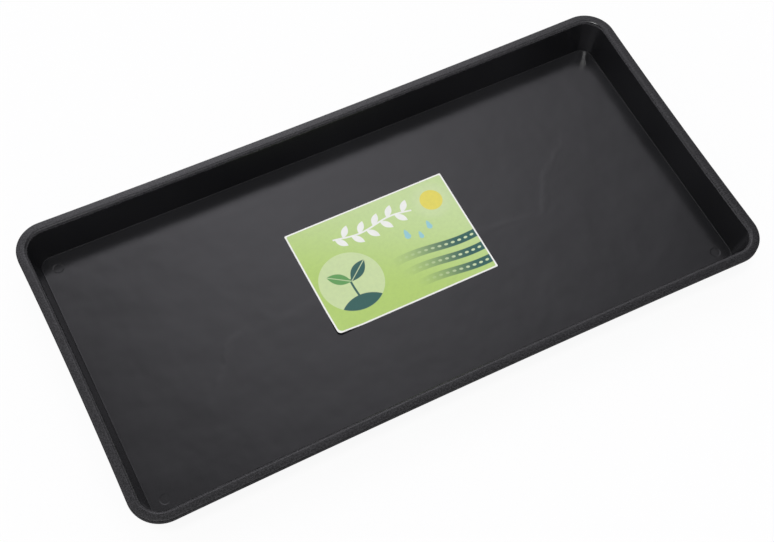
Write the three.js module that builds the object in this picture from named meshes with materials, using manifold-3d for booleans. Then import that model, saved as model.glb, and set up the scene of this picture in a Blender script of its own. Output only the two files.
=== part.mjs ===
// Plant growing tray: a shallow moulded shell with a rolled rim, and the printed label stuck to its floor.
// Millimetres, +Z up, +X along the tray. The origin is under the middle of the base.
import * as THREE from "three";
import { mergeVertices, toCreasedNormals } from "three/addons/utils/BufferGeometryUtils.js";
import Module from "manifold-3d";

// Outline of the rim, seen from above, and the height over all
const LENGTH = 790;
const WIDTH = 394;
const HEIGHT = 46.5;
const CORNER_RADIUS = 37;

// Shell: one thickness all over, with walls that lean out so that trays nest
const SHELL = 2;
const DRAFT_DEGREES = 13.3;
const FLOOR_FILLET = 0.6;

// Rim: a ledge that falls a little outwards, and rolls down into the wall inside and a short lip outside
const RIM_WIDTH = 11.9;
const RIM_SLOPE_DEGREES = 2.5;
const RIM_INNER_RADIUS = 4.5;
const RIM_OUTER_RADIUS = 1.5;
const LIP_DEPTH = 7;

// How far each side bows in at its middle, as moulded sides do when they cool
const RIM_BOW_LONG = 3;
const RIM_BOW_SHORT = 1.7;
const FLOOR_BOW_LONG = 1.4;
const FLOOR_BOW_SHORT = 0.25;

// Shallow round marks of the ejector pins, one near each corner of the floor
const PIN_MARK_DIAMETER = 13;
const PIN_MARK_DEPTH = 0.15;
const PIN_MARK_INSET = 17.5;

// Recess round the moulding gate in the middle of the underside
const GATE_DIAMETER = 18;
const GATE_DEPTH = 0.6;

// How far the edge of such a mark runs in for each step down
const MARK_EDGE_RUN = 2.5;

// Label, stuck a little off the middle of the floor and not quite square to it
const LABEL_LENGTH = 210;
const LABEL_WIDTH = 145;
const LABEL_THICKNESS = 0.25;
const LABEL_CORNER = 1.5;
const LABEL_X = 3.7;
const LABEL_Y = 11.3;
const LABEL_TURN_DEGREES = 0.2;
const ADHESIVE = 0.05;

// Steps along the round and bowed stretches
const CORNER_STEPS = 8;
const LONG_SIDE_STEPS = 12;
const SHORT_SIDE_STEPS = 6;
const BEND_STEPS = 6;
const MARK_STEPS = 24;
const LEAST_RADIUS = 0.3;
const CREASE_DEGREES = 30;

const QUARTER_TURN = Math.PI / 2;
const DRAFT = THREE.MathUtils.degToRad(DRAFT_DEGREES);
const RIM_SLOPE = THREE.MathUtils.degToRad(RIM_SLOPE_DEGREES);
const CORNERS = [[1, 1], [-1, 1], [-1, -1], [1, -1]];

const wasm = await Module();
wasm.setup();

function solidOf(geometry) {
  const bare = new THREE.BufferGeometry();
  bare.setAttribute("position", geometry.getAttribute("position"));
  bare.setIndex(geometry.getIndex());
  const merged = mergeVertices(bare);
  return new wasm.Manifold(new wasm.Mesh({
    numProp: 3,
    vertProperties: new Float32Array(merged.getAttribute("position").array),
    triVerts: new Uint32Array(merged.getIndex().array),
  }));
}

function geometryOf(solid) {
  const { vertProperties, triVerts } = solid.getMesh();
  const geometry = new THREE.BufferGeometry();
  geometry.setAttribute("position", new THREE.BufferAttribute(vertProperties, 3));
  geometry.setIndex(new THREE.BufferAttribute(triVerts, 1));
  return toCreasedNormals(geometry, THREE.MathUtils.degToRad(CREASE_DEGREES));
}

// A bend radius on a surface that lies some depth below the face that the radius is given for.
function bendRadius(radius, depth) {
  return Math.max(radius - depth, LEAST_RADIUS);
}

function arcPoints(x, y, radius, start, end) {
  return new THREE.EllipseCurve(x, y, radius, radius, start, end, end < start).getPoints(BEND_STEPS);
}

// The shell's section, from the floor's edge up the wall and over the rim to the lip's end, at a depth below
// the visible face. A point's x is its inset from the tray's outline, and its y is its height.
function sectionPoints(depth) {
  const slope = Math.tan(DRAFT);
  const lean = 1 / Math.cos(DRAFT);
  const wallInset = (height) => RIM_WIDTH + (HEIGHT - height) * slope;

  const filletHeight = SHELL + FLOOR_FILLET;
  const filletInset = wallInset(filletHeight) + FLOOR_FILLET * lean;
  const wallAngle = 2 * QUARTER_TURN + DRAFT;
  const fillet = arcPoints(filletInset, filletHeight, FLOOR_FILLET + depth, 3 * QUARTER_TURN, wallAngle);

  const inner = bendRadius(RIM_INNER_RADIUS, depth);
  const innerHeight = HEIGHT - depth - inner;
  const innerInset = wallInset(innerHeight) - (depth + inner) * lean;
  const ledgeAngle = QUARTER_TURN + RIM_SLOPE;
  const innerBend = arcPoints(innerInset, innerHeight, inner, DRAFT, ledgeAngle);

  const outer = bendRadius(RIM_OUTER_RADIUS, depth);
  const outerInset = depth + outer;
  const fall = (innerInset - outerInset) * Math.sin(RIM_SLOPE);
  const outerHeight = innerHeight + (inner - outer - fall) / Math.cos(RIM_SLOPE);
  const outerBend = arcPoints(outerInset, outerHeight, outer, ledgeAngle, 2 * QUARTER_TURN);

  const lipEnd = new THREE.Vector2(depth, HEIGHT - LIP_DEPTH);
  return [...fillet, ...innerBend, ...outerBend, lipEnd];
}

// A rounded rectangle, anticlockwise, with its sides split so that they can bow.
function roundedRectangle(halfLength, halfWidth, radius) {
  const arcs = CORNERS.map(([alongX, alongY], corner) => new THREE.EllipseCurve(
    alongX * (halfLength - radius),
    alongY * (halfWidth - radius),
    radius,
    radius,
    corner * QUARTER_TURN,
    (corner + 1) * QUARTER_TURN,
  ));
  return arcs.flatMap((arc, corner) => {
    const nextArc = arcs[(corner + 1) % arcs.length];
    const side = new THREE.LineCurve(arc.getPoint(1), nextArc.getPoint(0));
    const steps = corner % 2 === 0 ? LONG_SIDE_STEPS : SHORT_SIDE_STEPS;
    return [...arc.getPoints(CORNER_STEPS), ...side.getPoints(steps).slice(1, -1)];
  });
}

// One level of the shell: the outline set in, with concentric corners, and bowed more and more up to the rim.
function shellRing({ x: inset, y: height }) {
  const radius = bendRadius(CORNER_RADIUS, inset);
  const halfLength = LENGTH / 2 - inset;
  const halfWidth = WIDTH / 2 - inset;
  const rise = (height - SHELL) / (HEIGHT - SHELL);
  const bowLong = THREE.MathUtils.lerp(FLOOR_BOW_LONG, RIM_BOW_LONG, rise);
  const bowShort = THREE.MathUtils.lerp(FLOOR_BOW_SHORT, RIM_BOW_SHORT, rise);
  const dip = (along, half) => Math.max(0, 1 - (along / (half - radius)) ** 2);
  return roundedRectangle(halfLength, halfWidth, radius).map(({ x, y }) => new THREE.Vector3(
    x - Math.sign(x) * bowShort * dip(y, halfWidth),
    y - Math.sign(y) * bowLong * dip(x, halfLength),
    height,
  ));
}

// A closed surface through the rings, from a lid inside the first to a lid inside the last.
function loft(rings) {
  const count = rings[0].length;
  const last = (rings.length - 1) * count;
  const faces = [];
  for (let start = 0; start < last; start += count) {
    for (let i = 0; i < count; i += 1) {
      const here = start + i;
      const next = start + ((i + 1) % count);
      faces.push(here, here + count, next, next, here + count, next + count);
    }
  }
  const lid = (ring) => THREE.ShapeUtils.triangulateShape(ring, []);
  lid(rings[0]).forEach(([a, b, c]) => faces.push(a, b, c));
  lid(rings.at(-1)).forEach(([a, b, c]) => faces.push(last + a, last + c, last + b));
  const geometry = new THREE.BufferGeometry().setFromPoints(rings.flat());
  geometry.setIndex(faces);
  return geometry;
}

// A short frustum across a surface, which leaves a flat recess with a slanting edge above or below it.
function markCutter(diameter, depth, side, x, y, z) {
  const run = side * depth * MARK_EDGE_RUN;
  const plug = new THREE.CylinderGeometry(diameter / 2 + run, diameter / 2 - run, 2 * depth, MARK_STEPS);
  plug.rotateX(QUARTER_TURN);
  plug.translate(x, y, z);
  return solidOf(plug);
}

function makeTray() {
  const section = [...sectionPoints(0), ...sectionPoints(SHELL).reverse()];
  let shell = solidOf(loft(section.map(shellRing)));

  const floorInset = section[0].x;
  const markX = LENGTH / 2 - floorInset - PIN_MARK_INSET;
  const markY = WIDTH / 2 - floorInset - PIN_MARK_INSET;
  for (const [alongX, alongY] of CORNERS) {
    const x = alongX * markX;
    const y = alongY * markY;
    shell = shell.subtract(markCutter(PIN_MARK_DIAMETER, PIN_MARK_DEPTH, 1, x, y, SHELL));
  }
  shell = shell.subtract(markCutter(GATE_DIAMETER, GATE_DEPTH, -1, 0, 0, 0));

  const blackPlastic = new THREE.MeshStandardMaterial({ color: 0x1b1b1d, roughness: 0.42, metalness: 0 });
  const tray = new THREE.Mesh(geometryOf(shell), blackPlastic);
  tray.name = "tray";
  return tray;
}

function makeLabel() {
  const x = LABEL_LENGTH / 2 - LABEL_CORNER;
  const y = LABEL_WIDTH / 2 - LABEL_CORNER;
  const outline = new THREE.Shape();
  CORNERS.forEach(([alongX, alongY], corner) => {
    const start = corner * QUARTER_TURN;
    outline.absarc(alongX * x, alongY * y, LABEL_CORNER, start, start + QUARTER_TURN);
  });
  const sheet = new THREE.ExtrudeGeometry(outline, {
    depth: LABEL_THICKNESS,
    bevelEnabled: false,
    curveSegments: BEND_STEPS / 2,
  });

  const greenPaper = new THREE.MeshStandardMaterial({ color: 0x9dbb45, roughness: 0.35, metalness: 0 });
  const label = new THREE.Mesh(sheet, greenPaper);
  label.name = "label";
  label.position.set(LABEL_X, LABEL_Y, SHELL + ADHESIVE);
  label.rotation.z = THREE.MathUtils.degToRad(LABEL_TURN_DEGREES);
  return label;
}

const growingTray = new THREE.Group();
growingTray.add(makeTray(), makeLabel());

export default growingTray;
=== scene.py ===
# %% [markdown]
# # A moulded growing tray with its label
#
# The real tray is one thin moulding of black plastic: a flat floor, four walls that lean out so that
# trays nest, round corners, and a rolled rim with a short lip that stiffens it. A printed label is stuck
# to the floor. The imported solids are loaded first. They fix where everything is, in metres, with the
# ground at zero and the tray's length along X, so nothing here has to be fitted by eye.

# %% Load the solids
import math

import bmesh
import bpy
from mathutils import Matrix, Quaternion, Vector


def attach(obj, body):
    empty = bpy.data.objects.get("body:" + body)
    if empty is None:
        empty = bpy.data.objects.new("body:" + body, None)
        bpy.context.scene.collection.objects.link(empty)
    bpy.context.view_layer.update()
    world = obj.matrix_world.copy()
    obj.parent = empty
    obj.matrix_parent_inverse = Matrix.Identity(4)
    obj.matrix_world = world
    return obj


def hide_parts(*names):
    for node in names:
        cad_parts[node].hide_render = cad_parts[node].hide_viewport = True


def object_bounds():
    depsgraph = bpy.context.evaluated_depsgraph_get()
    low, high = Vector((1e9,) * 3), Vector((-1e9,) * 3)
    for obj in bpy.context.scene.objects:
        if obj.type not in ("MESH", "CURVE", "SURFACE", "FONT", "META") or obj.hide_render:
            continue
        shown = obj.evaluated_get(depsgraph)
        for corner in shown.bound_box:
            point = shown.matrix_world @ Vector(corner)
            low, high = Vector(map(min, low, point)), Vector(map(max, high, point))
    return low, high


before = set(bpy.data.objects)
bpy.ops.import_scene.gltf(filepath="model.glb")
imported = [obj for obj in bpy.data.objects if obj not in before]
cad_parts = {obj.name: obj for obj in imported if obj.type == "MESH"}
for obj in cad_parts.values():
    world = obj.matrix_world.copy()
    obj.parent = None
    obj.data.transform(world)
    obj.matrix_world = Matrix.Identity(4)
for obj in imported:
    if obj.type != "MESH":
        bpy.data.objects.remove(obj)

cad_low, cad_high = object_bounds()
print("solids span in mm:", [round(1000 * side, 2) for side in cad_high - cad_low])

# %% [markdown]
# ## The camera
#
# A camera can be turned by hand until the picture looks right, or worked out from edges whose real shape
# is known. Here the rim, the floor and the label are all rectangles, so their edges in the picture gave
# the place, the lens and a slight roll together. The rest of the lesson builds in front of that camera.

# %% Set the camera
CAMERA_PLACE = Vector((-0.46943, -0.71886, 1.47606))
CAMERA_AIM = Vector((-0.01205, -0.00924, 0.0))
CAMERA_ROLL = math.radians(6.345)
CAMERA_LENS = 67.432
SENSOR_WIDTH = 36

bpy.ops.object.camera_add(location=CAMERA_PLACE)
camera = bpy.context.object
camera.name = "studio_camera"
camera.rotation_mode = "QUATERNION"
camera.rotation_quaternion = (
    (CAMERA_AIM - CAMERA_PLACE).to_track_quat("-Z", "Y") @ Quaternion((0, 0, 1), CAMERA_ROLL)
)
camera.data.sensor_width = SENSOR_WIDTH
camera.data.lens = CAMERA_LENS
bpy.context.scene.camera = camera
print("camera is", round((CAMERA_AIM - CAMERA_PLACE).length, 3), "m from the middle of the floor")

# %% [markdown]
# ## Helpers for modelling
#
# An operator acts on whatever is selected, and loading the solids left them selected. So everything is
# deselected before a new piece, and faces, edges or points are then picked in code by where they are.
# Two heights count as the same within a hundredth of a millimetre. Lengths, and heights that a modifier has
# moved, get a fifth of one. Modifiers are added and applied in one go, as by the arrow beside each of them.

# %% Selecting and applying
NEAR = 1e-5
ROUGHLY = 2e-4
FOLD_ANGLE = math.radians(25)


def clear_selection():
    bpy.ops.object.select_all(action="DESELECT")


def pick(piece, kind, test):
    """Select the VERT, EDGE or FACE elements that show in edit mode and pass a test."""
    bpy.ops.mesh.select_mode(type=kind)
    bpy.ops.mesh.select_all(action="DESELECT")
    mesh = bmesh.from_edit_mesh(piece.data)
    elements = {"VERT": mesh.verts, "EDGE": mesh.edges, "FACE": mesh.faces}[kind]
    picked = [element for element in elements if not element.hide and test(element)]
    for element in picked:
        element.select_set(True)
    mesh.select_flush_mode()
    bmesh.update_edit_mesh(piece.data)
    return len(picked)


def is_fold(edge, height, near=NEAR):
    """True for an edge at a height where two faces meet at a clear angle."""
    level = all(abs(point.co.z - height) < near for point in edge.verts)
    return level and len(edge.link_faces) == 2 and edge.calc_face_angle() > FOLD_ANGLE


def apply_modifier(piece, kind, **settings):
    modifier = piece.modifiers.new(kind.title(), kind)
    for setting, value in settings.items():
        setattr(modifier, setting, value)
    bpy.context.view_layer.objects.active = piece
    bpy.ops.object.modifier_apply(modifier=modifier.name)


clear_selection()
print("selected now:", len(bpy.context.selected_objects))

# %% [markdown]
# ## The tray's outline
#
# Seen from above the tray is a rectangle with round corners whose sides bow in a little at the middle, as
# long mouldings do when they cool. A curve could be drawn and filled, but a plane is simpler to cut up. It
# starts at the height of the rim, a vertex bevel rounds its four corners, and its straight edges are
# subdivided so that there is something to bend.

# %% Draw the outline
LENGTH, WIDTH, RIM_TOP = cad_high.x - cad_low.x, cad_high.y - cad_low.y, cad_high.z
CORNER_RADIUS = 0.037
CORNER_STEPS = 20
LONG_CUTS = 23
SHORT_CUTS = 11

bpy.ops.mesh.primitive_plane_add(size=1, location=(0, 0, 0))
tray = bpy.context.object
tray.name = "tray_shell"
bpy.ops.object.mode_set(mode="EDIT")
bpy.ops.transform.resize(value=(LENGTH, WIDTH, 1), center_override=(0, 0, 0))
bpy.ops.transform.translate(value=(0, 0, RIM_TOP))
bpy.ops.mesh.bevel(offset=CORNER_RADIUS, segments=CORNER_STEPS, affect="VERTICES")

for side_length, cuts in ((LENGTH, LONG_CUTS), (WIDTH, SHORT_CUTS)):
    straight = side_length - 2 * CORNER_RADIUS
    for turn in (1, -1):
        pick(tray, "EDGE", lambda edge: abs(edge.calc_length() - straight) < ROUGHLY
             and turn * sum(edge.verts[0].co.xy - edge.verts[1].co.xy) > 0)
        bpy.ops.mesh.subdivide(number_cuts=cuts)
print("outline points:", len(bmesh.from_edit_mesh(tray.data).verts))

# %% [markdown]
# ## The bow of the sides
#
# Each point of a side could be moved by its own amount. Proportional editing does that in one go: the middle
# point is moved in, and drags its neighbours along by less and less. The inverse square falloff is an exact
# parabola, and its reach ends where the corners begin, so the corners stay where they are.

# %% Bow the sides
RIM_BOW_LONG = 0.003
RIM_BOW_SHORT = 0.0017
STRAIGHT_LONG = LENGTH / 2 - CORNER_RADIUS
STRAIGHT_SHORT = WIDTH / 2 - CORNER_RADIUS


def bow_sides(long_bow, short_bow):
    """Move the middles of the long and short sides in, or out where the bow is negative."""
    for way in (1, -1):
        pick(tray, "VERT", lambda point: abs(point.co.x) < NEAR and way * point.co.y > 0)
        bpy.ops.transform.translate(
            value=(0, -way * long_bow, 0), use_proportional_edit=True,
            proportional_edit_falloff="INVERSE_SQUARE", proportional_size=STRAIGHT_LONG,
        )
        pick(tray, "VERT", lambda point: abs(point.co.y) < NEAR and way * point.co.x > 0)
        bpy.ops.transform.translate(
            value=(-way * short_bow, 0, 0), use_proportional_edit=True,
            proportional_edit_falloff="INVERSE_SQUARE", proportional_size=STRAIGHT_SHORT,
        )


bow_sides(RIM_BOW_LONG, RIM_BOW_SHORT)
middle = min(point.co.y for point in bmesh.from_edit_mesh(tray.data).verts
             if point.co.y > 0 and abs(point.co.x) < NEAR)
print("long side is in by", round(1000 * (WIDTH / 2 - middle), 2), "mm at its middle")

# %% [markdown]
# ## Rim, walls and floor
#
# The rim, the walls and the floor could be separate pieces, but the real ones are one skin, and insets keep
# them so. One inset of the face leaves the flat of the rim round it. A second inset with depth carries the
# face down to the floor, and what it leaves behind is the leaning wall. The floor of a moulding bows less
# than its rim, so the rest is hidden while the floor's edge is let out again.

# %% Inset the rim and sink the floor
RIM_WIDTH = 0.0119
FLOOR_TOP = 0.002
DRAFT = math.radians(13.3)
FLOOR_BOW_LONG = 0.0014
FLOOR_BOW_SHORT = 0.00025

wall_run = (RIM_TOP - FLOOR_TOP) * math.tan(DRAFT)
bpy.ops.mesh.select_mode(type="FACE")
bpy.ops.mesh.select_all(action="SELECT")
bpy.ops.mesh.inset(thickness=RIM_WIDTH, depth=0)
bpy.ops.mesh.inset(thickness=wall_run, depth=FLOOR_TOP - RIM_TOP)
bpy.ops.mesh.hide(unselected=True)
bow_sides(FLOOR_BOW_LONG - RIM_BOW_LONG, FLOOR_BOW_SHORT - RIM_BOW_SHORT)
bpy.ops.mesh.reveal(select=False)
print("walls run in by", round(1000 * wall_run, 2), "mm over", round(1000 * (RIM_TOP - FLOOR_TOP), 1))

# %% [markdown]
# ## The fall of the rim
#
# The rim isn't level. It falls a little towards its outside, which lets water run off it. The easiest time
# to tilt it is now, while it is one flat band: its outer edge goes down, and its inner edge goes up by just
# as much as the roll will take off again, so that the top of the roll ends at the tray's full height.

# %% Tilt the rim
RIM_SLOPE = math.radians(2.5)
RIM_INNER_RADIUS = 0.0045

inner_roll = RIM_INNER_RADIUS * math.tan((math.pi / 2 - DRAFT + RIM_SLOPE) / 2)
inner_edge = RIM_TOP + inner_roll * math.sin(RIM_SLOPE) - RIM_INNER_RADIUS * (1 - math.cos(RIM_SLOPE))
outer_edge = inner_edge - RIM_WIDTH * math.tan(RIM_SLOPE)
for outermost, height in ((True, outer_edge), (False, inner_edge)):
    pick(tray, "VERT", lambda point: abs(point.co.z - RIM_TOP) < NEAR and point.is_boundary == outermost)
    bpy.ops.transform.translate(value=(0, 0, height - RIM_TOP))
print("rim falls by", round(1000 * (inner_edge - outer_edge), 2), "mm over its width")

# %% [markdown]
# ## Rolled edges
#
# Plastic never turns a sharp corner, because it wouldn't flow there and would crack. The rim rolls into
# the wall, and the wall into the floor. A Bevel modifier would roll both alike, so each fold is picked and
# bevelled by itself. The width that a bevel takes from each face is the radius times the tangent of half
# the turn.

# %% Roll the rim and the foot of the wall
FLOOR_FILLET = 0.0006
ROLL_STEPS = 10

foot_roll = FLOOR_FILLET * math.tan((math.pi / 2 - DRAFT) / 2)
for height, roll in ((inner_edge, inner_roll), (FLOOR_TOP, foot_roll)):
    folds = pick(tray, "EDGE", lambda edge: is_fold(edge, height))
    bpy.ops.mesh.bevel(offset=roll, segments=ROLL_STEPS, affect="EDGES", clamp_overlap=False)
    print("rolled", folds, "edges,", round(1000 * roll, 2), "mm into each face")

# %% [markdown]
# ## A flat floor
#
# Smooth shading blends the direction of a face into its neighbours. On a face as large as the floor that
# blend would show as a grey cloud, so a narrow inset keeps it to the floor's edge.

# %% Hold the floor flat
FLOOR_MARGIN = 0.0015
FACING_UP = 0.999

pick(tray, "FACE", lambda face: face.normal.z > FACING_UP
     and abs(face.calc_center_median().z - FLOOR_TOP) < NEAR)
bpy.ops.mesh.inset(thickness=FLOOR_MARGIN, depth=0)
floor_area = sum(face.calc_area() for face in bmesh.from_edit_mesh(tray.data).faces if face.select)
print("flat floor:", round(10000 * floor_area), "square cm")

# %% [markdown]
# ## The lip
#
# The rim ends in a short lip that turns straight down all round, which is what a hand takes hold of. A band
# of its own could hang there, but the open edge of the sheet, extruded down, stays one piece with the rim.
# Its fold stays sharp for now.

# %% Turn the lip down
LIP_DEPTH = 0.007

pick(tray, "EDGE", lambda edge: edge.is_boundary)
lip_end = RIM_TOP - LIP_DEPTH
bpy.ops.mesh.extrude_edges_move(TRANSFORM_OT_translate={"value": (0, 0, lip_end - outer_edge)})
bpy.ops.object.mode_set(mode="OBJECT")
print("lip is", round(1000 * (outer_edge - lip_end), 2), "mm deep")

# %% [markdown]
# ## Thickness
#
# So far the tray is a sheet without thickness: the face that the eye sees. A second skin could be modelled
# under it, but Solidify grows it from this one, at the thickness of the moulding. The outer fold of the lip
# is rolled only now, because its radius is less than the thickness, and a rolled sheet would fold over
# itself inside. The corner inside it and the two edges at the lip's end get small bevels of their own.

# %% Thicken the shell
SHELL = 0.002
RIM_OUTER_RADIUS = 0.0015
INSIDE_RADIUS = 0.0003
LIP_EDGE = 0.0004
EDGE_STEPS = 3

apply_modifier(tray, "SOLIDIFY", thickness=SHELL, offset=-1, use_even_offset=True)
outer_roll = RIM_OUTER_RADIUS * math.tan((math.pi / 2 - RIM_SLOPE) / 2)
under_edge = outer_edge + SHELL * (math.sin(RIM_SLOPE) - 1) / math.cos(RIM_SLOPE)
bpy.ops.object.mode_set(mode="EDIT")
for height, roll, steps in ((outer_edge, outer_roll, ROLL_STEPS), (under_edge, INSIDE_RADIUS, EDGE_STEPS),
                            (lip_end, LIP_EDGE, EDGE_STEPS)):
    folds = pick(tray, "EDGE", lambda edge: is_fold(edge, height, near=ROUGHLY))
    bpy.ops.mesh.bevel(offset=roll, segments=steps, affect="EDGES", clamp_overlap=False)
    print("rolled", folds, "edges at", round(1000 * height, 2), "mm,", round(1000 * roll, 2), "mm each way")
bpy.ops.object.mode_set(mode="OBJECT")
print("shell faces:", len(tray.data.polygons))

# %% [markdown]
# ## Marks of the mould
#
# Four pins push the moulding out of its mould, and each leaves a shallow round step near a corner of the
# floor. The plastic came in through a gate under the middle, which leaves a deeper one. A bump could fake
# them, but a real edge catches the light from every side. Each is cut with a boolean by a cone without its
# point, set half way into the surface: its slanting side leaves the edge.

# %% Press in the pin and gate marks
PIN_MARK = {"radius": 0.0065, "depth": 0.00012, "run": 0.0012}
GATE_MARK = {"radius": 0.009, "depth": 0.0006, "run": 0.0015}
PIN_X, PIN_Y = 0.3547, 0.1567
PINS = [(x, y) for x in (PIN_X, -PIN_X) for y in (PIN_Y, -PIN_Y)]
MARK_STEPS = 64


def mark_cone(x, y, surface, side, radius, depth, run):
    """A cone without its point that cuts a flat mark, from above or below a surface."""
    bpy.ops.mesh.primitive_cone_add(
        vertices=MARK_STEPS, radius1=radius - side * run, radius2=radius + side * run,
        depth=2 * depth, location=(x, y, surface),
    )
    return bpy.context.object


clear_selection()
cones = [mark_cone(x, y, FLOOR_TOP, 1, **PIN_MARK) for x, y in PINS]
cones.append(mark_cone(0, 0, 0, -1, **GATE_MARK))
for cone in cones:
    apply_modifier(tray, "BOOLEAN", operation="DIFFERENCE", solver="EXACT", object=cone)
    bpy.data.objects.remove(cone)
print("marks pressed in:", len(cones))

# %% [markdown]
# ## Smooth shading
#
# The rolled edges are made of narrow flat strips, and shading them smooth by angle hides the strips. The pin
# marks are so shallow that their edges would go smooth too, and their shading would leak across the whole
# floor. So these edges are marked sharp first, which the smoothing leaves alone.

# %% Shade the shell
MARK_REACH = 0.011
DEAD_LEVEL = 0.99999
SMOOTH_BELOW = math.radians(12)


def round_a_mark(edge):
    """True for an edge between a level face and a slanting one, close to a mark."""
    middle = (edge.verts[0].co + edge.verts[1].co) / 2
    near_mark = any(math.hypot(middle.x - x, middle.y - y) < MARK_REACH for x, y in (*PINS, (0, 0)))
    level = [abs(face.normal.z) > DEAD_LEVEL for face in edge.link_faces]
    return near_mark and any(level) and not all(level)


clear_selection()
tray.select_set(True)
bpy.context.view_layer.objects.active = tray
bpy.ops.object.mode_set(mode="EDIT")
print("edges round the marks:", pick(tray, "EDGE", round_a_mark))
bpy.ops.mesh.mark_sharp()
bpy.ops.object.mode_set(mode="OBJECT")
bpy.ops.object.shade_smooth_by_angle(angle=SMOOTH_BELOW, keep_sharp_edges=True)

shell_mesh = bmesh.new()
shell_mesh.from_mesh(tray.data)
open_edges = sum(1 for edge in shell_mesh.edges if not edge.is_manifold)
shell_volume = shell_mesh.calc_volume(signed=True)
shell_mesh.free()
print("shell volume:", round(1e6 * shell_volume), "cubic cm, open edges:", open_edges)

# %% [markdown]
# ## Formulas in nodes
#
# Finishes are built from nodes. A print or a mould mark is easier to write as a formula than to wire by
# hand, so a small class lets two node values be added or multiplied in Python, and adds the Math nodes.

# %% Writing node formulas
class Wire:
    """A value in a node tree. Arithmetic on it adds Math nodes."""

    def __init__(self, tree, socket):
        self.tree = tree
        self.socket = socket

    def math(self, operation, *others):
        node = self.tree.nodes.new("ShaderNodeMath")
        node.operation = operation
        for entry, value in zip(node.inputs, (self, *others)):
            plug(self.tree, value, entry)
        return Wire(self.tree, node.outputs[0])

    def __add__(self, other):
        return self.math("ADD", other)

    def __sub__(self, other):
        return self.math("SUBTRACT", other)

    def __mul__(self, other):
        return self.math("MULTIPLY", other)

    def __truediv__(self, other):
        return self.math("DIVIDE", other)

    def __abs__(self):
        return self.math("ABSOLUTE")

    def least(self, other):
        return self.math("MINIMUM", other)

    def most(self, other):
        return self.math("MAXIMUM", other)

    def square(self):
        return self.math("MULTIPLY", self)

    def root(self):
        return self.math("SQRT")

    def ease(self, start, end, low=0.0, high=1.0):
        """Go smoothly from low to high as the value goes from start to end."""
        node = self.tree.nodes.new("ShaderNodeMapRange")
        node.interpolation_type = "SMOOTHSTEP"
        for name, value in (("Value", self), ("From Min", start), ("From Max", end),
                            ("To Min", low), ("To Max", high)):
            plug(self.tree, value, node.inputs[name])
        return Wire(self.tree, node.outputs["Result"])


def plug(tree, value, entry):
    """Join a wire to an input, or set the input to a plain value."""
    if isinstance(value, Wire):
        tree.links.new(value.socket, entry)
    else:
        entry.default_value = value


def paint_card(red, green, blue):
    """A colour from 0 to 255, as a screen gives it, in linear light by the sRGB curve."""
    shares = [part / 255 for part in (red, green, blue)]
    linear = [share / 12.92 if share < 0.04045 else ((share + 0.055) / 1.055) ** 2.4 for share in shares]
    return (*linear, 1.0)


def new_finish(name):
    """A material with its shader, and the piece's own coordinates in metres."""
    material = bpy.data.materials.new(name)
    material.use_nodes = True
    tree = material.node_tree
    shader = tree.nodes["Principled BSDF"]
    place = Wire(tree, tree.nodes.new("ShaderNodeTexCoord").outputs["Object"])
    return material, tree, shader, place


def split(tree, place):
    node = tree.nodes.new("ShaderNodeSeparateXYZ")
    plug(tree, place, node.inputs[0])
    return [Wire(tree, output) for output in node.outputs]


def mapped(tree, place, location=(0, 0, 0), turn=0.0, scale=(1, 1, 1), kind="POINT"):
    node = tree.nodes.new("ShaderNodeMapping")
    node.vector_type = kind
    plug(tree, place, node.inputs["Vector"])
    node.inputs["Location"].default_value = location
    node.inputs["Rotation"].default_value = (0, 0, turn)
    node.inputs["Scale"].default_value = scale
    return Wire(tree, node.outputs[0])


def noise(tree, place, scale, detail=2.0, roughness=0.5):
    node = tree.nodes.new("ShaderNodeTexNoise")
    plug(tree, place, node.inputs["Vector"])
    node.inputs["Scale"].default_value = scale
    node.inputs["Detail"].default_value = detail
    node.inputs["Roughness"].default_value = roughness
    return Wire(tree, node.outputs[0])


def blended(tree, share, first, second):
    """One colour over another, by a share from 0 to 1."""
    node = tree.nodes.new("ShaderNodeMix")
    node.data_type = "RGBA"
    plug(tree, share, node.inputs[0])
    plug(tree, first, node.inputs[6])
    plug(tree, second, node.inputs[7])
    return Wire(tree, node.outputs[2])


def bumped(tree, height, distance, strength, before=None):
    node = tree.nodes.new("ShaderNodeBump")
    plug(tree, height, node.inputs["Height"])
    node.inputs["Distance"].default_value = distance
    node.inputs["Strength"].default_value = strength
    if before:
        plug(tree, before, node.inputs["Normal"])
    return Wire(tree, node.outputs[0])


print("lime green in linear light:", [round(part, 3) for part in paint_card(180, 208, 118)])

# %% [markdown]
# ## Black plastic
#
# The tray's plastic is a satin black. Its floor was against polished steel and is smooth. The foot of the
# walls is dull, because no polish reaches that corner of a mould, and its colour is also darkened there as
# painted shade, which dims the glint of its small roll. The rim has a speckled grain, and the lip round it
# is matt. A single black would look like a hole, so colour, roughness and bump all vary, each at the size it
# has on the real thing. First come the masks that tell these places apart, by height and by the way a face
# looks, and the noises that the finish is mixed from.

# %% Tell the places apart
GRAIN_START, GRAIN_FULL = RIM_TOP - 0.006, RIM_TOP - 0.002
FOOT_START, FOOT_FULL, FOOT_FADE, FOOT_END = [FLOOR_TOP + rise for rise in (0.0, 0.0001, 0.0006, 0.0012)]
MATT_START, MATT_FULL = 0.035, 0.039

plastic, tree, shader, place = new_finish("satin_black_plastic")
x, y, z = split(tree, place)
on_rim = z.ease(GRAIN_START, GRAIN_FULL)
on_foot = z.ease(FOOT_START, FOOT_FULL) * z.ease(FOOT_FADE, FOOT_END, 1.0, 0.0)
facing = split(tree, Wire(tree, tree.nodes.new("ShaderNodeNewGeometry").outputs["Normal"]))
outward = x * facing[0] / LENGTH + y * facing[1] / WIDTH
on_lip = outward.ease(0.05, 0.3) * z.ease(MATT_START, MATT_FULL)

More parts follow.
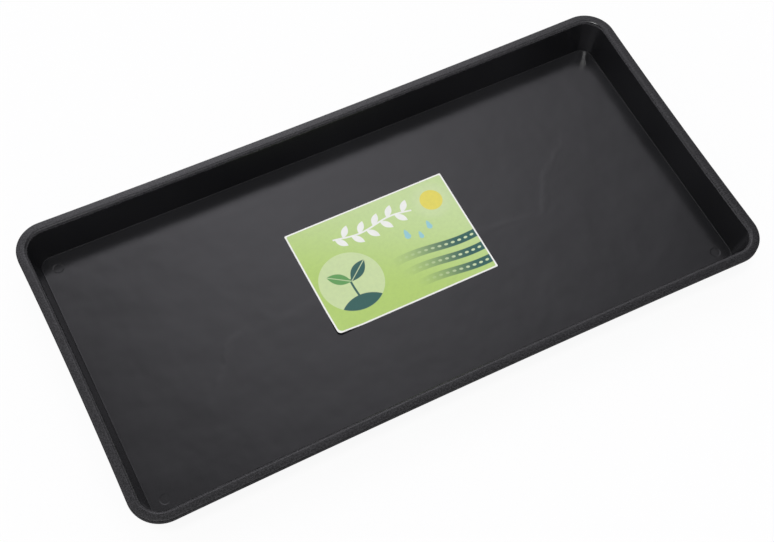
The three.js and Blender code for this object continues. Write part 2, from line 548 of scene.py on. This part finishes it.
clouds = noise(tree, place, 9, detail=3)
waves = noise(tree, mapped(tree, place, location=(0.7, 0.2, 0)), 24, detail=2, roughness=0.45)
grain = noise(tree, place, 520, detail=3, roughness=0.7)
rub = noise(tree, mapped(tree, place, turn=0.5, scale=(1, 14, 1)), 90, detail=4, roughness=0.65)
print("masks and noises take", len(tree.nodes), "nodes")

# %% [markdown]
# ## Flow lines
#
# Faint lines show where the plastic met itself as it filled the mould. They are changes of shine more than
# of shape, so each is a formula in the finish: how far a point is from a straight run. The waves push the
# point about first, so that the line wanders as a real one does, and it fades along its way.

# %% Draw the flow lines
WANDER = 0.03
FADE_START, FADE_LEFT = 0.6, 0.3
FLOW_RUNS = (
    ((-0.09, -0.021), (-0.197, -0.01), 0.012),
    ((-0.203, -0.013), (-0.268, -0.082), 0.0085),
    ((0.112, -0.016), (0.184, -0.014), 0.0085),
    ((0.192, -0.009), (0.28, 0.074), 0.0085),
)
wander = (waves - 0.5) * WANDER


def flow_line(start, end, width):
    """A soft ridge on the floor that wanders a little from a straight line."""
    run = Vector(end) - Vector(start)
    from_x, from_y = x + wander - start[0], y - wander - start[1]
    along = ((from_x * run.x + from_y * run.y) / run.length_squared).most(0.0).least(1.0)
    off = (from_x - along * run.x).square() + (from_y - along * run.y).square()
    return off.root().ease(0.0, width, 1.0, 0.0) * along.ease(FADE_START, 1.0, 1.0, FADE_LEFT)


flow, *other_lines = [flow_line(*run) for run in FLOW_RUNS]
for line in other_lines:
    flow = flow.most(line)
flow = flow * clouds.ease(0.38, 0.56, 0.8, 1.0)
print("flow lines:", len(FLOW_RUNS))

# %% [markdown]
# ## Colour, shine and skin
#
# The masks now lay one finish over another. A thin sheet never cools quite flat, so the skin keeps a slight
# waviness, and the floor falls a little towards the far wall. Waves of a few hundredths of a millimetre
# could be modelled too, but a bump costs no faces.

# %% Mix the plastic
FLOOR_BLACK, FLOOR_BLACK_PALE = (0.0075, 0.0077, 0.0083, 1), (0.0105, 0.0107, 0.0115, 1)
# The darkest black serves the specks of the rim's grain and the painted shade at the foot of the walls.
GRAIN_AND_FOOT_SHADE_BLACK = (0.002, 0.002, 0.0022, 1)
FLOW_GREY = (0.022, 0.0222, 0.023, 1)
SPECK_GREY = (0.024, 0.024, 0.025, 1)
POLISHED = 0.18
FALL_START, FALL_REACH, FALL_BEND = 0.135, 0.04, 1375
WAVE_DEPTH, GRAIN_DEPTH = 0.0004, 0.00012
PLASTIC_IOR = 1.49

dark = blended(tree, clouds.ease(0.35, 0.7), FLOOR_BLACK, FLOOR_BLACK_PALE)
dark = blended(tree, flow * 0.3, dark, FLOW_GREY)
# Painted shade: the foot of the walls is darkened, which dims the glint of its small roll.
dark = blended(tree, on_foot * 0.8, dark, GRAIN_AND_FOOT_SHADE_BLACK)
specks = blended(tree, grain.ease(0.42, 0.6), GRAIN_AND_FOOT_SHADE_BLACK, SPECK_GREY)
plug(tree, blended(tree, on_rim * 0.9, dark, specks), shader.inputs["Base Color"])

rough = clouds * 0.04 + rub.ease(0.45, 0.75, 0.0, 0.04) + flow * 0.01 + POLISHED
plug(tree, rough + on_rim * 0.07 + on_lip * 0.8 + on_foot * 0.6, shader.inputs["Roughness"])

fall = (y - FALL_START).most(0.0).least(FALL_REACH).square() * FALL_BEND
skin = bumped(tree, clouds + waves * 0.85 + flow * 0.16 - fall, WAVE_DEPTH, 1.0)
skin = bumped(tree, grain * (on_rim * 0.85 + 0.15), GRAIN_DEPTH, 0.6, before=skin)
plug(tree, skin, shader.inputs["Normal"])
shader.inputs["IOR"].default_value = PLASTIC_IOR
tray.data.materials.append(plastic)
print("plastic nodes:", len(tree.nodes))

# %% [markdown]
# ## The label's sheet
#
# The label is a sheet of coated paper with slightly rounded corners, stuck down a few millimetres off the
# middle and not quite square. A single plane couldn't curl, so it starts as a grid, whose corner points are
# bevelled. The corner nearest the viewer is worn rounder and has come unstuck a little, which proportional
# editing lifts, and Solidify gives the paper its thickness.

# %% Cut the label
LABEL_LENGTH, LABEL_WIDTH = 0.21, 0.145
LABEL_PLACE = (0.0037, 0.0113)
LABEL_TURN = math.radians(0.2)
LABEL_CORNER = 0.0015
WORN_CORNER = 0.008
PAPER = 0.00025
ADHESIVE = 0.00005
CORNER_LIFT = 0.0024
LIFTED_TIP = 0.009
LIFT_REACH = 0.03
GRID_LONG, GRID_WIDE = 40, 28
LABEL_CORNER_STEPS = 8
LABEL_SMOOTH_BELOW = math.radians(30)

clear_selection()
bpy.ops.mesh.primitive_grid_add(
    x_subdivisions=GRID_LONG, y_subdivisions=GRID_WIDE, size=1, location=(0, 0, 0),
)
label = bpy.context.object
label.name = "label_sheet"
bpy.ops.object.mode_set(mode="EDIT")
bpy.ops.transform.resize(value=(LABEL_LENGTH, LABEL_WIDTH, 1), center_override=(0, 0, 0))
for worn, radius in ((True, WORN_CORNER), (False, LABEL_CORNER)):
    pick(label, "VERT", lambda point: len(point.link_edges) == 2
         and abs(abs(point.co.x) - LABEL_LENGTH / 2) + abs(abs(point.co.y) - LABEL_WIDTH / 2) < NEAR
         and (max(point.co.x, point.co.y) < 0) == worn)
    bpy.ops.mesh.bevel(offset=radius, segments=LABEL_CORNER_STEPS, affect="VERTICES")
tip_line = LIFTED_TIP - (LABEL_LENGTH + LABEL_WIDTH) / 2
pick(label, "VERT", lambda point: point.co.x + point.co.y < tip_line)
bpy.ops.transform.translate(
    value=(0, 0, CORNER_LIFT), use_proportional_edit=True,
    proportional_edit_falloff="SMOOTH", proportional_size=LIFT_REACH,
)
bpy.ops.object.mode_set(mode="OBJECT")
label.location = (*LABEL_PLACE, FLOOR_TOP + ADHESIVE)
label.rotation_euler = (0, 0, LABEL_TURN)
bpy.ops.object.transform_apply(location=True, rotation=True, scale=True)
apply_modifier(label, "SOLIDIFY", thickness=PAPER, offset=1)
bpy.ops.object.shade_smooth_by_angle(angle=LABEL_SMOOTH_BELOW)
print("label faces:", len(label.data.polygons))

# %% [markdown]
# ## The label's print
#
# The print is a plain garden design without words: a seedling in a pale disc, a white sprig, a sun, three
# fading furrows sown with seeds and some drops, on lime green inside a white margin. A picture could be laid
# on the sheet, but formulas need no file and stay sharp from close by. Each shape is a formula for how far a
# point is inside it, in millimetres, and colours are laid over each other like inks. The pattern is centred
# and turned with the sheet by a Mapping node.

# %% Shapes for the print
INK_EDGE = 0.35

printed, tree, shader, place = new_finish("coated_label_paper")
across, up, _ = split(tree, mapped(tree, place, location=(*LABEL_PLACE, 0), turn=LABEL_TURN, kind="TEXTURE"))
u, v = across * 1000, up * 1000


def inside(depth):
    return depth.ease(-INK_EDGE, INK_EDGE)


def disc(cu, cv, radius, edge=INK_EDGE):
    return ((u - cu).square() + (v - cv).square()).root().ease(radius - edge, radius + edge, 1.0, 0.0)


def leaf(bu, bv, angle, length, width):
    """A pointed leaf from its base, with the angle from the label's long way, and how far off its rib."""
    ahead, side = math.cos(math.radians(angle)), math.sin(math.radians(angle))
    along = ((u - bu) * ahead + (v - bv) * side) / (length / 2) - 1.0
    off = abs((v - bv) * ahead - (u - bu) * side)
    return inside((along.square() * -1.0 + 1.0) * (width / 2) - off), off


print("label print is", 1000 * LABEL_LENGTH, "by", 1000 * LABEL_WIDTH, "mm")

# %% [markdown]
# ## Ground and furrows
#
# The inks go on from the back to the front, because each covers what is under it. The lime ground pales
# towards one corner. The pale disc lies on it, and the furrows run out of the ground as wavy bands. Their
# seeds could be placed one by one, but the fraction of a length repeats by itself and sows one at each step.

# %% Lay on the ground and the furrows
LIME = paint_card(179, 209, 109)
LIME_PALE = paint_card(199, 222, 156)
MIST = paint_card(210, 226, 176)
TEAL = paint_card(38, 92, 84)
SEEDLING_U, SEEDLING_V, DISC_RADIUS = -60, -16, 39
FURROWS = ((-18, -14, 84), (-37, -6, 88), (-56, 2, 92))
FURROW_WAVE, FURROW_SWING, FURROW_HALF = 0.045, 3.0, 5.4
SEED_STEP, SEED_RADIUS, SEED_STRETCH = 8.5, 1.5, 0.4


def furrow(middle, left, right):
    """A wavy band that fades out to the left, and the seeds sown along it."""
    wave = (u * FURROW_WAVE + middle).math("SINE") * FURROW_SWING + middle
    fade = u.ease(left, right)
    step = ((u / SEED_STEP).math("FRACT") - 0.5) * SEED_STEP
    seeds = inside((step.square() * SEED_STRETCH + (v - wave).square()).root() * -1.0 + SEED_RADIUS)
    return inside(abs(v - wave) * -1.0 + FURROW_HALF) * fade, seeds * fade


ink = blended(tree, (u * 0.6 + v).ease(-70, 90), LIME, LIME_PALE)
ink = blended(tree, disc(SEEDLING_U, SEEDLING_V, DISC_RADIUS) * 0.75, ink, MIST)
for middle, left, right in FURROWS:
    band, seeds = furrow(middle, left, right)
    ink = blended(tree, band, ink, TEAL)
    ink = blended(tree, seeds, ink, MIST)
print("furrows:", len(FURROWS))

# %% [markdown]
# ## The seedling
#
# The seedling stands on a mound. That could have a formula of its own, but a disc cut off by the pale one
# does as well. The stem sways a little, by a sine. Each of the two leaves has a pale rib, which is wherever
# a point is close to the leaf's middle line.

# %% Draw the seedling
LEAF_GREEN = paint_card(96, 158, 84)
MOUND_V, MOUND_RADIUS = -74, 38
STEM_FOOT, STEM_TOP, STEM_HALF = -38, -12, 1.3
STEM_WAVE, STEM_SWING = 0.08, 1.2
SEED_LEAVES = ((146, 30, 14, LEAF_GREEN), (38, 33, 15, TEAL))

mound = disc(SEEDLING_U, MOUND_V, MOUND_RADIUS) * disc(SEEDLING_U, SEEDLING_V, DISC_RADIUS)
ink = blended(tree, mound, ink, TEAL)
sway = (v * STEM_WAVE).math("SINE") * STEM_SWING
stem = inside(abs(u - SEEDLING_U - sway) * -1.0 + STEM_HALF)
stem = stem * v.ease(STEM_FOOT, STEM_FOOT + 1) * v.ease(STEM_TOP - 1, STEM_TOP, 1.0, 0.0)
ink = blended(tree, stem, ink, TEAL)
for angle, length, width, colour in SEED_LEAVES:
    blade, off = leaf(SEEDLING_U, SEEDLING_V, angle, length, width)
    rib = off.ease(0.3, 0.8, 1.0, 0.0) * blade
    ink = blended(tree, blade, ink, colour)
    ink = blended(tree, rib * 0.8, ink, MIST)
print("leaves on the seedling:", len(SEED_LEAVES))

# %% [markdown]
# ## The sprig
#
# The sprig is one wavy twig with leaves that point up and down by turns. They could be set by hand, but a
# loop gives each leaf its base from the same sine as the twig, so that none of them floats.

# %% Draw the sprig
WHITE = paint_card(242, 244, 236)
SPRIG_V, SPRIG_WAVE, SPRIG_SWING = 41, 0.07, 3.0
TWIG_START, TWIG_END, TWIG_HALF = -56, 49, 1.1
SPRIG_LEAVES, FIRST_LEAF, LEAF_STEP = 10, -53, 10
LEAF_DOWN, LEAF_UP = -50, 52
LEAF_LENGTH, LEAF_WIDTH = 18, 8

sway = (u * SPRIG_WAVE).math("SINE") * SPRIG_SWING
twig = inside(abs(v - SPRIG_V - sway) * -1.0 + TWIG_HALF)
twig = twig * u.ease(TWIG_START, TWIG_START + 1) * u.ease(TWIG_END - 1, TWIG_END, 1.0, 0.0)
ink = blended(tree, twig, ink, WHITE)
for step in range(SPRIG_LEAVES):
    start = FIRST_LEAF + LEAF_STEP * step
    base = SPRIG_V + SPRIG_SWING * math.sin(SPRIG_WAVE * start)
    blade, _ = leaf(start, base, LEAF_UP if step % 2 else LEAF_DOWN, LEAF_LENGTH, LEAF_WIDTH)
    ink = blended(tree, blade, ink, WHITE)
print("leaves on the sprig:", SPRIG_LEAVES)

# %% [markdown]
# ## Sun and drops
#
# The sun has a soft glow. A gradient could give it, but a wider disc with a soft edge needs nothing new. A
# drop is a small disc with an upright leaf over it for its point.

# %% Draw the sun and the drops
SUN = paint_card(230, 218, 92)
WATER = paint_card(150, 204, 210)
SUN_U, SUN_V, SUN_RADIUS = 77, 43, 14
GLOW_RADIUS, GLOW_EDGE = 23, 7
DROPS = ((28, 10, 3.8), (43, 3, 2.9), (58, 11, 3.4))

ink = blended(tree, disc(SUN_U, SUN_V, GLOW_RADIUS, edge=GLOW_EDGE) * 0.5, ink, MIST)
ink = blended(tree, disc(SUN_U, SUN_V, SUN_RADIUS), ink, SUN)
for cu, cv, size in DROPS:
    point, _ = leaf(cu, cv - size, 90, 3.6 * size, 1.5 * size)
    ink = blended(tree, disc(cu, cv, size).most(point), ink, WATER)
print("drops:", len(DROPS))

# %% [markdown]
# ## Margin and coating
#
# Real ink is never quite even, so a faint mottle runs through all of it. The margin is bare paper. It could
# be a frame painted over the rest, but here the ink just stops short of the sheet's edge, on a rounder line
# at the worn corner. The coating has a soft sheen over the paper's fibres.

# %% Leave the margin and coat the sheet
MARGIN = 1.9
MARGIN_CORNER, WORN_MARGIN_CORNER = 4, 8
FIBRE_DEPTH = 0.00006


def rounded(du, dv, corner):
    """The print's side of a rounded margin, from a point's distances off the middle each way."""
    past_u = (du - (500 * LABEL_LENGTH - corner)).most(0.0)
    past_v = (dv - (500 * LABEL_WIDTH - corner)).most(0.0)
    return inside((past_u.square() + past_v.square()).root() * -1.0 + (corner - MARGIN))


mottle = noise(tree, place, 260, detail=3)
ink = blended(tree, mottle.ease(0.3, 0.75, 0.0, 0.05), ink, TEAL)
field = rounded(abs(u), abs(v), MARGIN_CORNER) * rounded(u * -1.0, v * -1.0, WORN_MARGIN_CORNER)
plug(tree, blended(tree, field, WHITE, ink), shader.inputs["Base Color"])

fibre = noise(tree, mapped(tree, place, scale=(1, 2.2, 1)), 1700, detail=4, roughness=0.6)
plug(tree, fibre * 0.12 + 0.34, shader.inputs["Roughness"])
plug(tree, bumped(tree, fibre, FIBRE_DEPTH, 0.25), shader.inputs["Normal"])
label.data.materials.append(printed)
print("print nodes:", len(tree.nodes))

# %% [markdown]
# ## Joining the pieces to the solids
#
# Both pieces are rigid, so they ride on the one body, and the solids that they stand for are
# hidden.

# %% Ride and replace
for piece, node, slot in ((tray, "tray", "tray_plastic"), (label, "label", "label_paper")):
    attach(piece, "root")
    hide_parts(node)
    print(piece.name, "stands for", node, "in", slot)

# %% [markdown]
# ## The studio floor
#
# The tray stands on white paper. A white card under plain light renders a shade below white, so what the
# camera and the reflections see of it is mostly set to white outright. The rest stays an ordinary matt
# surface, and that part keeps the tray's soft shadow.

# %% Lay the floor
FLOOR_REACH = 6
FLOOR_DROP = 0.0003
CARD_WHITE = (0.93, 0.93, 0.93, 1)
WHITE_SHARE = 0.92

bpy.ops.mesh.primitive_plane_add(size=2 * FLOOR_REACH, location=(0, 0, -FLOOR_DROP))
paper_floor = bpy.context.object
paper_floor.name = "paper_floor"

floor_paper, tree, shader, _ = new_finish("white_floor_paper")
shader.inputs["Base Color"].default_value = CARD_WHITE
shader.inputs["Roughness"].default_value = 0.9
shader.inputs["Specular IOR Level"].default_value = 0.0
rays = tree.nodes.new("ShaderNodeLightPath")
seen = Wire(tree, rays.outputs["Is Camera Ray"])
for ray in ("Is Glossy Ray", "Is Transmission Ray"):
    seen = seen.most(Wire(tree, rays.outputs[ray]))
white = tree.nodes.new("ShaderNodeEmission")
lay = tree.nodes.new("ShaderNodeMixShader")
plug(tree, seen * WHITE_SHARE, lay.inputs[0])
tree.links.new(shader.outputs[0], lay.inputs[1])
tree.links.new(white.outputs[0], lay.inputs[2])
tree.links.new(lay.outputs[0], tree.nodes["Material Output"].inputs["Surface"])
paper_floor.data.materials.append(floor_paper)
print("floor reaches", FLOOR_REACH, "m each way")

# %% [markdown]
# ## The studio walls
#
# A black satin tray is seen mostly by what it reflects, so the room matters as much as the plastic. Its
# walls are white up to a third of the way, brighter on the left, and its ceiling is dim. A broad white screen
# leans in behind the tray, and a smaller one stands to its left: they make the floor bright at the back and
# in the middle, and let it fall off to the right and towards the viewer. Two more hang where the floor
# can't mirror them, in front and to the right, and show only in the rolls of the rim. They could be lit
# panels, but drawn into the world they have soft edges and cost no faces. A direction there has a part to
# the right, to the back and to the top, and a screen fades in and out between two values of these.

# %% Hang the screens
CEILING = 0.12
BACK_LOW, BACK_HIGH = 1.72, 1.3
LEFT_LIGHT, FRONT_LIGHT, RIGHT_LIGHT = 1.2, 1.2, 0.4
ROOM_TINT = (1.0, 0.98, 1.055, 1)

world = bpy.data.worlds.new("studio_room")
bpy.context.scene.world = world
world.use_nodes = True
tree = world.node_tree
to_right, to_back, to_top = split(tree, Wire(tree, tree.nodes.new("ShaderNodeTexCoord").outputs["Generated"]))

across = to_right + to_back * 0.3 - 0.37
across = across.ease(-0.3, 0.0).least(across.ease(0.0, 0.4, 1.0, 0.0))
lower = to_back.ease(0.17, 0.49, 0.0, BACK_LOW)
upper = to_back.ease(0.53, 0.6, 0.0, BACK_HIGH)
back_screen = across * (lower + upper) * to_back.ease(0.66, 0.85, 1.0, 0.0)
left_screen = abs(to_right + 0.36).ease(0.1, 0.36, LEFT_LIGHT, 0.0) * to_back.ease(0.1, 0.4)
front_screen = abs(to_right - 0.2).ease(0.1, 0.6, FRONT_LIGHT, 0.0)
front_screen = front_screen * abs(to_back + 0.34).ease(0.2, 0.36, 1.0, 0.0)
right_screen = (to_right - to_top * 0.62).ease(0.0, 0.2, 0.0, RIGHT_LIGHT) * to_back.ease(0.2, 0.4)
above = back_screen + left_screen + front_screen + right_screen + CEILING
left_wall = to_top.ease(0.15, 0.45, 1.0, 0.0) * to_right.ease(-0.95, -0.7, 1.0, 0.0)
wall = to_top.ease(0.2, 0.52, 1.0, 0.0) + left_wall
surround = tree.nodes["Background"]
surround.inputs["Color"].default_value = ROOM_TINT
plug(tree, above.most(wall), surround.inputs["Strength"])
print("room nodes:", len(tree.nodes))

# %% [markdown]
# ## The lamp
#
# One soft lamp high overhead gives most of the light. An area lamp would light the middle more than the ends,
# so it is a sun lamp with a wide angle, whose light is the same all over the tray. It shows as a narrow glint
# where the far right corner of the wall is mirrored in the floor, and as a small one on the roll above it.
# Its strength is set so that, with the room, a white card on the floor comes out about white.

# %% Hang the lamp
LAMP_SIDE = Vector((-0.235, -0.09, 0.968))
LAMP_DISTANCE = 3
LAMP_SPREAD = math.radians(13)
LAMP_STRENGTH = 1.2

bpy.ops.object.light_add(type="SUN", location=LAMP_DISTANCE * LAMP_SIDE)
lamp = bpy.context.object
lamp.name = "overhead_lamp"
lamp.rotation_mode = "QUATERNION"
lamp.rotation_quaternion = (-LAMP_SIDE).to_track_quat("-Z", "Y")
lamp.data.angle = LAMP_SPREAD
lamp.data.energy = LAMP_STRENGTH
bpy.context.scene.view_settings.view_transform = "Standard"
print("lamp is", round(math.degrees(LAMP_SIDE.angle((0, 0, 1)))), "degrees from straight overhead")
